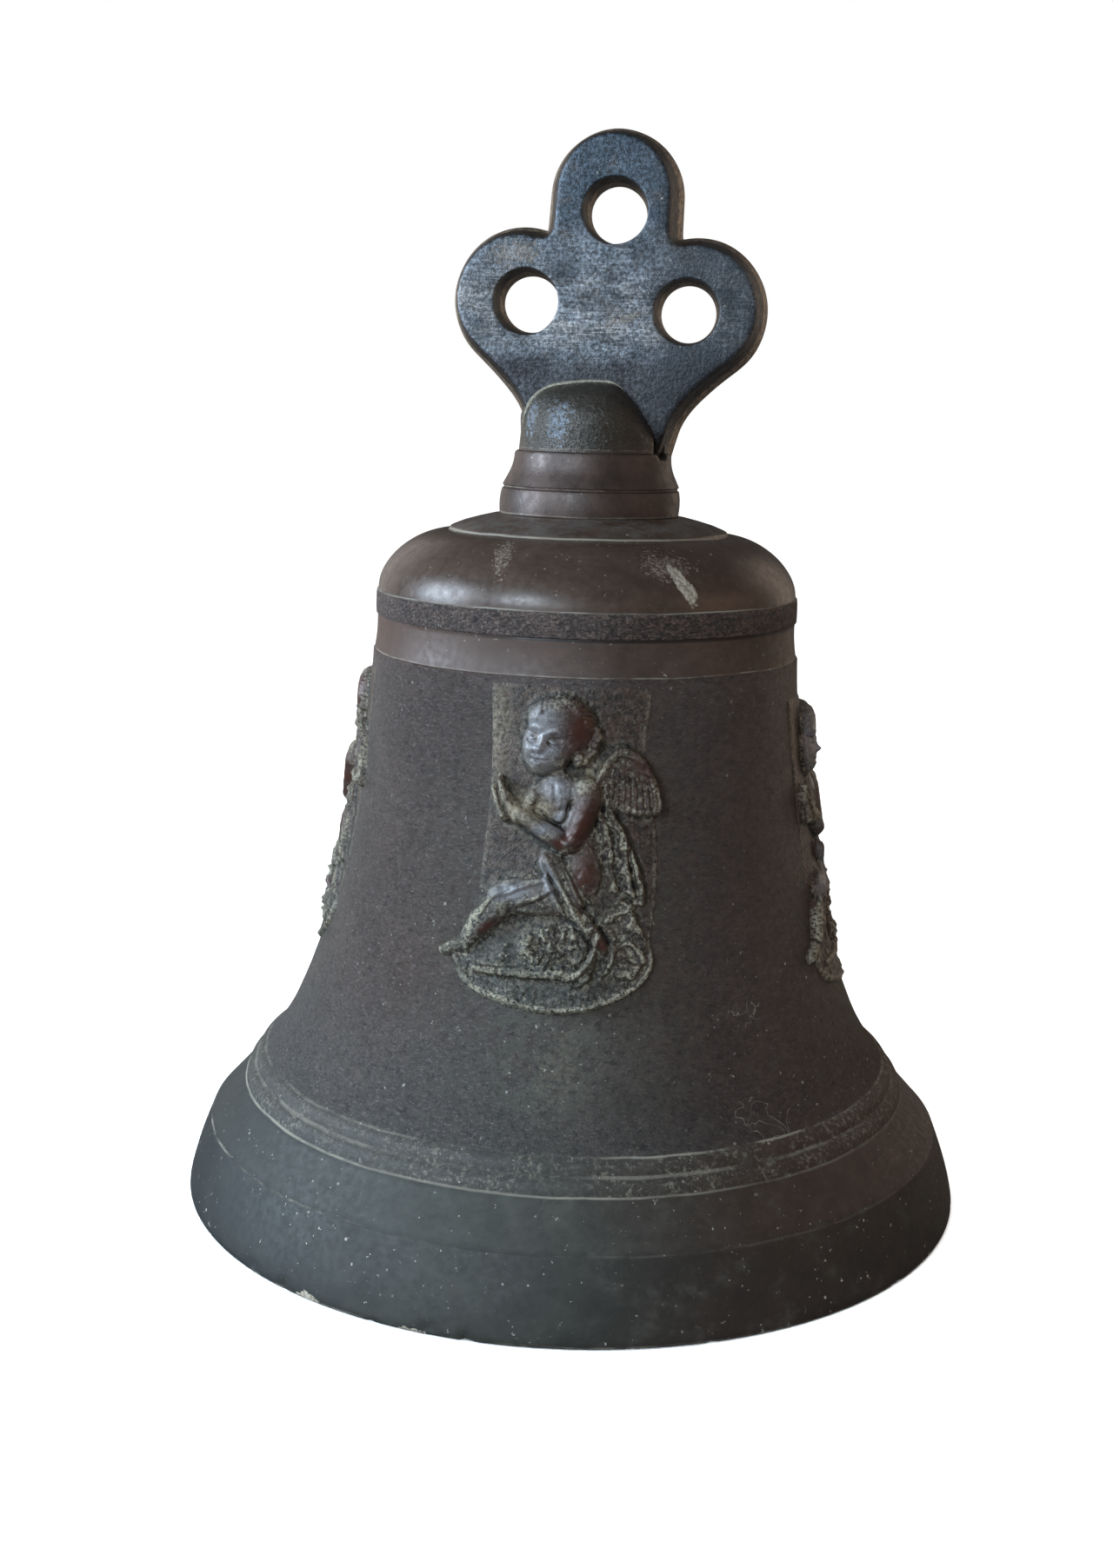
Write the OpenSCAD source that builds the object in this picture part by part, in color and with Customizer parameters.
// Small church bell with a three-hole crown plate, four cast-on cherubs and an iron clapper.
// Millimetres, +Z up. The origin is the centre of the mouth, in the plane of the lip.
// X runs along the crown plate and -Y is its front; the bolts through the plate lie along Y.

/* [Bell] */
// Radius of the lip
lip_r = 160; // [156:1:164]
// Width of the flat ring that the bell stands on
rim_w = 9; // [6:1:12]
// Height of the lower edge of the bevel above the lip
bevel_z = 30; // [28:1:32]
// Radius at the lower edge of the bevel
bevel_r = 151; // [149:1:153]
// Height of the lower bead line
bead_z = 46; // [44:1:48]
// Radius at the lower bead line
bead_r = 136.5; // [135:0.5:138]
// Height where the waist starts, above the beads
waist_foot_z = 58; // [56:1:60]
// Radius where the waist starts
waist_foot_r = 128; // [126:1:130]
// Height where the turned band starts, at the top of the waist
waist_top_z = 223; // [220:1:226]
// Radius at the top of the waist
waist_top_r = 85.3; // [84:0.1:87]
// Height of the lower edge of the rough band
band_z = 237.5; // [236:0.5:239]
// Height where the shoulder starts
shoulder_z = 247; // [245:1:249]
// Height of the edge of the head disc
head_z = 271; // [269:1:273]
// Radius of the head disc
head_r = 55.5; // [54:0.5:57]
// Height of the foot of the neck
neck_z = 277.5; // [276:0.5:279]

/* [Wall] */
// Thickness of the wall at its thickest, in the sound bow
bow_t = 24; // [20:1:26]
// Thickness of the wall through the waist
waist_t = 8.3; // [7:0.1:10]
// Height of the underside of the head
head_under_z = 262; // [258:1:264]

/* [Crown] */
// Radius of the foot of the neck
neck_r = 35.7; // [34:0.1:37]
// Radius of the domed top of the neck
dome_r = 30.3; // [29:0.1:31]
// Height of the centre of the dome
dome_z = 300; // [298:1:302]
// Thickness of the crown plate
plate_t = 24; // [20:1:26]
// Lean of the crown plate from upright, in degrees
plate_lean = 2.5; // [0:0.5:4]
// Offset of the crown plate from the bell's axis
plate_x = 1.8; // [0:0.1:3]
// Height of the two side holes
side_hole_z = 357.6; // [354:0.1:360]
// Distance of each side hole from the plate's centre line
side_hole_x = 31.2; // [29:0.1:32]
// Height of the top hole above the side holes
top_hole_up = 35.8; // [34:0.1:38]
// Sideways offset of the top hole from the plate's centre line
top_hole_x = 1; // [0:0.1:1.5]
// Radius of the straight part of each hole
hole_r = 11; // [10:0.1:11.5]
// Radius of each hole's flared mouth, on the front
hole_mouth_r = 12.7; // [12:0.1:13]
// Radius of each side lobe
side_lobe_r = 26.1; // [25:0.1:27]
// Radius of the top lobe
top_lobe_r = 24.1; // [23.5:0.1:26]

/* [Cherubs] */
// Height of the waist at the front cherub's base
relief_z = 103; // [100:1:106]
// How far the figure stands out of the waist
relief_proud = 5; // [4:0.5:8]
// How far the head, arm and knee stand out of the waist
relief_high = 7; // [6:0.5:10]

/* [Hanging] */
// Radius of the eye bolt's shank
bolt_r = 8; // [7:0.5:9]
// Height of the eye bolt's eye
eye_z = 227; // [226:0.5:228]
// Distance between the two pins of the link
link_l = 46; // [45:1:47]
// Radius of the pin through the eye bolt
link_pin_r = 7; // [6:0.5:7.5]
// Radius of the pin that the clapper hangs on
clapper_pin_r = 6; // [5:0.5:6.5]
// Thickness of both eyes
eye_t = 14; // [12:1:14]
// Outer radius of both eyes
eye_r = 14; // [13:0.5:14.5]
// Side gap between an eye and the ears beside it
ear_gap = 0.6; // [0.4:0.1:1]
// Thickness of each ear of the link
ear_t = 7; // [6:0.5:8]
// Radial clearance of a pin that something turns on
run_gap = 0.05; // [0.02:0.01:0.1]

/* [Clapper] */
// Radius of the clapper's ball
ball_r = 22; // [20:0.5:22]
// Height of the centre of the ball
ball_z = 33; // [32:0.5:35]
// Height of the clapper's lowest point
clapper_low_z = 6; // [5:0.5:8]

/* [Hidden] */
$fn = 96;
// Overlap that joins solids of one piece
eps = 0.01;
// Radial gap between pieces that are fitted together and don't turn
fit_gap = 0.03;
lip_round = 1.5;
bead_n = 2;
shoulder_r = 83.6;
lobe_up = 1.1;
lobe_out = 2.9;
tang_z = 291;
socket_z = 289;
nut_h = 13;
nut_af = 24;
washer_t = 3;
nut_z = head_under_z - 2 * washer_t - nut_h;
pin_head_h = 3.5;
washer_h = 1.6;
split_r = 1.3;
link_z = eye_z - link_l;
ear_top = 14.8;
ear_half = 11;
inner = eye_t / 2 + ear_gap;
outer = inner + ear_t;
block_top = eye_z - 18;
block_low = link_z + 18;
top_hole_z = side_hole_z + top_hole_up;
top_lobe_z = side_hole_z + 42.4;

// ---- curves ----

// Point at t on the cubic curve from a to d, pulled by b and c
function cubic(a, b, c, d, t) =
    pow(1 - t, 3) * a + 3 * pow(1 - t, 2) * t * b + 3 * (1 - t) * t * t * c + t * t * t * d;

// The cubic as n + 1 points
function curve(a, b, c, d, n) = [for (i = [0 : n]) cubic(a, b, c, d, i / n)];

// Points on an arc about c, from angle a0 to a1
function arc(c, r, a0, a1, n) =
    [for (i = [0 : n]) let (a = a0 + (a1 - a0) * i / n) c + r * [cos(a), sin(a)]];

// Half-round bead standing on the line from a to b, h proud
function bead(a, b, h, n) =
    let (d = b - a, out = [d[1], -d[0]] / norm(d))
    [for (i = [0 : n]) a + d * i / n + out * h * sin(180 * i / n)];

// The waist as the cubic that it is cast to, n + 1 points pushed out by proud
function waist(proud, n) =
    [for (p = curve(
        [waist_foot_r, waist_foot_z], [waist_foot_r - 24, waist_foot_z + 24.5],
        [waist_top_r + 1.7, waist_top_z - 48], [waist_top_r, waist_top_z], n)) p + [proud, 0]];

// ---- the bell ----

// Outside of the bell from the lip to the foot of the neck
function bell_outside() = concat(
    arc([lip_r - lip_round, lip_round], lip_round, -90, 0, 3),
    curve([lip_r - 0.2, 4], [lip_r - 1.8, 12], [bevel_r + 3.2, 22], [bevel_r, bevel_z], 5),
    curve([bevel_r - 0.6, bevel_z + 0.6], [bevel_r - 5, bevel_z + 5.5],
        [bead_r + 5, bead_z - 6], [bead_r, bead_z], 4),
    bead([bead_r - 0.3, bead_z + 0.2], [(bead_r + waist_foot_r) / 2, (bead_z + waist_foot_z) / 2], 1.2, 4),
    bead([(bead_r + waist_foot_r) / 2 - 0.1, (bead_z + waist_foot_z) / 2 + 0.1],
        [waist_foot_r + 0.2, waist_foot_z - 0.2], 1.2, 4),
    waist(0, 14),
    curve([waist_top_r - 0.6, waist_top_z + 0.4], [waist_top_r - 1.4, waist_top_z + 5],
        [shoulder_r, band_z - 5], [shoulder_r + 0.2, band_z], 4),
    [[shoulder_r + 0.7, band_z + 0.4], [shoulder_r + 0.4, shoulder_z - 0.3]],
    curve([shoulder_r, shoulder_z], [shoulder_r, shoulder_z + 11],
        [head_r + 14, head_z - 0.5], [head_r + 0.6, head_z - 0.5], 9),
    [[head_r, head_z + 0.6], [head_r - 1.5, head_z + 1.4], [neck_r, neck_z], [bolt_r + fit_gap, neck_z]]
);

// Inside of the bell from the middle of the head down to the flat ring
function bell_inside() = concat(
    [[bolt_r + fit_gap, head_under_z], [30, head_under_z], [44, head_under_z - 0.8]],
    curve([50, head_under_z - 2], [66, head_under_z - 6],
        [waist_top_r - waist_t, waist_top_z + 27], [waist_top_r - waist_t, waist_top_z + 8], 6),
    curve([waist_top_r - waist_t, waist_top_z], [waist_top_r - waist_t + 2.5, waist_top_z - 60],
        [bevel_r - bow_t - 30, bevel_z + 62], [bevel_r - bow_t - 11, bevel_z + 15], 10),
    curve([bevel_r - bow_t - 8.5, bevel_z + 10], [bevel_r - bow_t - 2.5, bevel_z - 2],
        [bevel_r - bow_t + 3, bevel_z - 16], [lip_r - rim_w - 3, 3], 6),
    [[lip_r - rim_w - lip_round, 0]]
);

module bell_body() {
    color("#4a3f35") rotate_extrude() polygon(concat(bell_outside(), bell_inside()));
}

// ---- the crown ----

// Places a piece drawn upright at x = 0 where the leaning crown plate stands
module lean() {
    translate([plate_x, 0, neck_z]) rotate([0, plate_lean, 0]) translate([0, 0, -neck_z]) children();
}

// Right half of the plate between its lobes, from the top lobe down to the tang
function plate_edge() =
    let (flank = side_lobe_r * sin(45))
    [
        [top_lobe_r, top_lobe_z], [top_lobe_r, side_hole_z + 16], [side_hole_x, side_hole_z + 6],
        [side_hole_x + lobe_out + flank, side_hole_z + lobe_up - flank],
        [45.4, 333.8], [38.3, 327.2], [32.4, 319.8], [28.8, 311], [27.2, 303], [22, 303], [22, tang_z]
    ];

// Round lobe of the plate, centred at x and height z
module lobe(x, z, r) {
    translate([x, plate_t / 2, z]) rotate([90, 0, 0]) cylinder(h = plate_t, r = r);
}

// The crown plate without its holes
module plate_blank() {
    half = plate_edge();
    other = [for (i = [len(half) - 1 : -1 : 0]) [-half[i][0], half[i][1]]];
    lean() union() {
        translate([0, plate_t / 2, 0]) rotate([90, 0, 0]) linear_extrude(plate_t)
            polygon(concat(half, other));
        lobe(0, top_lobe_z, top_lobe_r);
        lobe(-side_hole_x - lobe_out, side_hole_z + lobe_up, side_lobe_r);
        lobe(side_hole_x + lobe_out, side_hole_z + lobe_up, side_lobe_r);
    }
}

// One hole through the plate: straight in its back half, flared towards the front
module plate_hole() {
    rotate([90, 0, 0]) {
        translate([0, 0, -plate_t]) cylinder(h = 2 * plate_t, r = hole_r);
        cylinder(h = plate_t / 2 + eps, r1 = hole_r, r2 = hole_mouth_r);
    }
}

module crown_plate() {
    color("#3f4650") difference() {
        plate_blank();
        lean() {
            translate([top_hole_x, 0, top_hole_z]) plate_hole();
            for (s = [-1, 1]) translate([s * side_hole_x, 0, side_hole_z]) plate_hole();
        }
    }
}

module crown_neck() {
    top = dome_z + dome_r;
    color("#453a32") difference() {
        rotate_extrude() polygon(concat(
            [[0, neck_z], [neck_r, neck_z], [neck_r + 0.1, neck_z + 3.5], [neck_r - 0.4, neck_z + 9]],
            [[neck_r - 1, neck_z + 10], [neck_r - 1, neck_z + 10.8], [neck_r - 0.7, neck_z + 11.4]],
            curve([neck_r - 1.2, neck_z + 12], [neck_r - 2.6, neck_z + 15],
                [dome_r + 1.2, neck_z + 18], [dome_r + 0.9, neck_z + 24.2], 4),
            [[dome_r + 0.1, neck_z + 24.9]],
            [for (a = [6 : 6 : 84]) [dome_r * cos(a), dome_z + dome_r * sin(a)]],
            [[0, top]]
        ));
        plate_blank();
        translate([0, 0, neck_z - 1]) cylinder(h = socket_z - neck_z + 1, r = bolt_r + fit_gap);
    }
}

// ---- the cherubs ----

// Flat shape of a limb or fold: a straight taper from a to b with round ends of radius ra and rb
module limb(a, b, ra, rb) {
    d = (b - a) / norm(b - a);
    side = [-d[1], d[0]];
    polygon([a + side * ra, a - side * ra, b - side * rb, b + side * rb]);
    translate(a) circle(ra, $fn = 12);
    translate(b) circle(rb, $fn = 12);
}

// Oval of half-width w and half-height h about c
module oval(c, w, h) {
    polygon([for (a = [0 : 15 : 345]) c + [w * cos(a), h * sin(a)]]);
}

// Rocky mound and its oval foot
module cherub_ground() {
    oval([3, 14], 33, 13);
}

// Whole kneeling figure, seen from outside; x to its left is the viewer's right, y is the height
module cherub_figure() {
    oval([-2, 98], 14, 15.5);
    limb([12, 80], [34, 82], 8, 12);
    limb([34, 84], [40, 70], 10, 4);
    limb([0, 84], [8, 56], 12, 11);
    limb([14, 74], [30, 38], 7, 6);
    limb([8, 50], [-12, 44], 12, 9);
    limb([-12, 44], [-38, 22], 9, 3);
    limb([10, 44], [14, 20], 13, 10);
    limb([8, 72], [0, 58], 7, 5);
    limb([-2, 60], [-24, 76], 5, 4);
    limb([-24, 82], [-26, 68], 5, 4);
}

// Parts of the figure that stand highest
module cherub_high() {
    oval([-2, 98], 11, 12.5);
    limb([8, 74], [1, 60], 5.5, 4.5);
    limb([-2, 60], [-20, 74], 3.5, 3);
    limb([4, 46], [-14, 42], 7, 5);
}

// Solid of revolution inside a skin that stands proud of the waist
module waist_solid(proud) {
    rotate_extrude() polygon(concat([[0, waist_foot_z]], waist(proud, 14), [[0, waist_top_z]]));
}

// A flat shape raised from the axis out to a skin that stands proud of the waist
module raised(proud, up) {
    start = waist_top_r / 2 - proud;
    intersection() {
        waist_solid(proud);
        translate([0, -start, relief_z + up]) rotate([90, 0, 0]) linear_extrude(lip_r - start) children();
    }
}

// One cherub facing the angle az, up above its standard height
module cherub(az, up) {
    color("#5a4a3a") rotate([0, 0, az]) difference() {
        union() {
            raised(3, up) cherub_ground();
            raised(relief_proud, up) cherub_figure();
            raised(relief_high, up) cherub_high();
        }
        waist_solid(0);
    }
}

module cherub_relief_front() { cherub(0, 0); }
module cherub_relief_right() { cherub(90, -11); }
module cherub_relief_back() { cherub(180, -6); }
module cherub_relief_left() { cherub(270, -4); }

// ---- the hanging, fixed to the bell ----

module eye_bolt() {
    color("#4b4744") difference() {
        union() {
            translate([0, 0, nut_z]) cylinder(h = socket_z - nut_z, r = bolt_r);
            translate([0, 0, eye_z + 6]) cylinder(h = nut_z - eye_z - 6 + eps, r = eye_t / 2);
            translate([0, eye_t / 2, eye_z]) rotate([90, 0, 0]) cylinder(h = eye_t, r = eye_r);
        }
        translate([0, eye_t, eye_z]) rotate([90, 0, 0]) cylinder(h = 2 * eye_t, r = link_pin_r + run_gap);
    }
}

// Flat ring round the eye bolt, from height z down by t
module bolt_ring(z, t, r) {
    translate([0, 0, z - t]) difference() {
        cylinder(h = t, r = r);
        translate([0, 0, -1]) cylinder(h = t + 2, r = bolt_r + fit_gap);
    }
}

module leather_washer() {
    color("#6b4a2c") bolt_ring(head_under_z, washer_t, 23);
}

module clamp_washer() {
    color("#55504b") bolt_ring(head_under_z - washer_t, washer_t, 21);
}

module lock_nut() {
    color("#4f4b47") translate([0, 0, nut_z]) difference() {
        cylinder(h = nut_h, r = nut_af / 2 / cos(30), $fn = 6);
        translate([0, 0, -1]) cylinder(h = nut_h + 2, r = bolt_r + fit_gap);
    }
}

// ---- the link ----

// Pair of ears across Y about the origin, joined towards -Z down to depth
module ears(depth, top_half, top_h, hole) {
    for (s = [-1, 1]) translate([0, s * (inner + ear_t / 2) + ear_t / 2, 0]) rotate([90, 0, 0])
        difference() {
            linear_extrude(ear_t) union() {
                circle(eye_r - 1);
                translate([-eye_r + 1, -depth]) square([2 * eye_r - 2, depth]);
                translate([-top_half, 0]) square([2 * top_half, top_h]);
            }
            translate([0, 0, -1]) cylinder(h = ear_t + 2, r = hole);
        }
}

module swing_link() {
    color("#4b4744") union() {
        translate([0, 0, eye_z]) ears(eye_z - block_top + eps, ear_half, ear_top, link_pin_r + fit_gap);
        translate([-outer, -outer, block_low]) cube([2 * outer, 2 * outer, block_top - block_low]);
        translate([0, 0, link_z]) rotate([180, 0, 90])
            ears(block_low - link_z + eps, 4, eye_r - 1.5, clapper_pin_r + fit_gap);
    }
}

// Headed pin along +Z about the origin, with a cross hole for its split pin
module headed_pin(r) {
    length = outer + washer_h + 7;
    difference() {
        union() {
            translate([0, 0, -outer - pin_head_h]) cylinder(h = pin_head_h, r = r + 3);
            translate([0, 0, -outer - eps]) cylinder(h = outer + length, r = r);
        }
        translate([0, 0, outer + washer_h + 2.5]) rotate([90, 0, 0])
            cylinder(h = 4 * r, r = split_r + fit_gap, center = true);
    }
}

module pin_ring(r) {
    translate([0, 0, outer]) difference() {
        cylinder(h = washer_h, r = r + 4);
        translate([0, 0, -1]) cylinder(h = washer_h + 2, r = r + fit_gap);
    }
}

// Split pin across a headed pin: shank, ring head and two spread ends
module split_pin(r) {
    translate([0, 0, outer + washer_h + 2.5]) {
        rotate([90, 0, 0]) cylinder(h = 2 * r + 4, r = split_r, center = true);
        translate([0, -r - 4, 0]) rotate_extrude() translate([2.2, 0]) circle(0.9, $fn = 24);
        for (s = [-1, 1]) translate([0, r + 1.6, 0]) rotate([-90, 0, 0]) rotate([0, s * 38, 0])
            cylinder(h = 5, r = 0.9);
    }
}

// Turns a pin drawn along +Z to lie along +Y in the eye bolt
module at_link_pin() {
    translate([0, 0, eye_z]) rotate([-90, 0, 0]) rotate([0, 0, 90]) children();
}

// Turns a pin drawn along +Z to lie along +X in the clapper's eye
module at_clapper_pin() {
    translate([0, 0, link_z]) rotate([0, 90, 0]) children();
}

module link_pin() {
    color("#6a655f") at_link_pin() headed_pin(link_pin_r);
}

module link_pin_washer() {
    color("#5d5853") at_link_pin() pin_ring(link_pin_r);
}

module link_split_pin() {
    color("#7a756e") at_link_pin() split_pin(link_pin_r);
}

module clapper_pin() {
    color("#6a655f") at_clapper_pin() headed_pin(clapper_pin_r);
}

module clapper_pin_washer() {
    color("#5d5853") at_clapper_pin() pin_ring(clapper_pin_r);
}

module clapper_split_pin() {
    color("#7a756e") at_clapper_pin() split_pin(clapper_pin_r);
}

// ---- the clapper ----

bush_r = clapper_pin_r + 3;
rod_top_r = 6.5;
rod_low_r = 8;
tail_r = 6;

module clapper_rod() {
    eye_low = link_z - eye_r + 3;
    ball_top = ball_z + ball_r - 2;
    color("#4b4744") difference() {
        union() {
            translate([-eye_t / 2, 0, link_z]) rotate([0, 90, 0]) cylinder(h = eye_t, r = eye_r);
            rotate_extrude() polygon([
                [0, clapper_low_z], [tail_r - 1.5, clapper_low_z], [tail_r, clapper_low_z + 1.5],
                [tail_r, ball_top], [rod_low_r, ball_top], [rod_low_r, ball_top + 3],
                [rod_top_r, eye_low], [0, eye_low]
            ]);
        }
        translate([-eye_t, 0, link_z]) rotate([0, 90, 0]) cylinder(h = 2 * eye_t, r = bush_r + fit_gap);
        translate([0, 0, ball_z]) rotate([90, 0, 0]) cylinder(h = 4 * tail_r, r = 2, center = true);
    }
}

module clapper_bush() {
    color("#9a7a3c") translate([-eye_t / 2, 0, link_z]) rotate([0, 90, 0]) difference() {
        cylinder(h = eye_t, r = bush_r);
        translate([0, 0, -1]) cylinder(h = eye_t + 2, r = clapper_pin_r + run_gap);
    }
}

module clapper_ball() {
    color("#454140") difference() {
        intersection() {
            translate([0, 0, ball_z]) sphere(ball_r);
            translate([0, 0, ball_z]) cylinder(h = 2 * ball_r - 4, r = ball_r + 1, center = true);
        }
        cylinder(h = 2 * ball_z, r = tail_r + fit_gap);
        translate([0, 0, ball_z]) rotate([90, 0, 0]) cylinder(h = 3 * ball_r, r = 2, center = true);
    }
}

module ball_cross_pin() {
    color("#6a655f") translate([0, 0, ball_z]) rotate([90, 0, 0])
        cylinder(h = 2 * ball_r - 1.2, r = 2 - fit_gap, center = true);
}

bell_body();
crown_neck();
crown_plate();
cherub_relief_front();
cherub_relief_right();
cherub_relief_back();
cherub_relief_left();
eye_bolt();
leather_washer();
clamp_washer();
lock_nut();
swing_link();
link_pin();
link_pin_washer();
link_split_pin();
clapper_pin();
clapper_pin_washer();
clapper_split_pin();
clapper_rod();
clapper_bush();
clapper_ball();
ball_cross_pin();
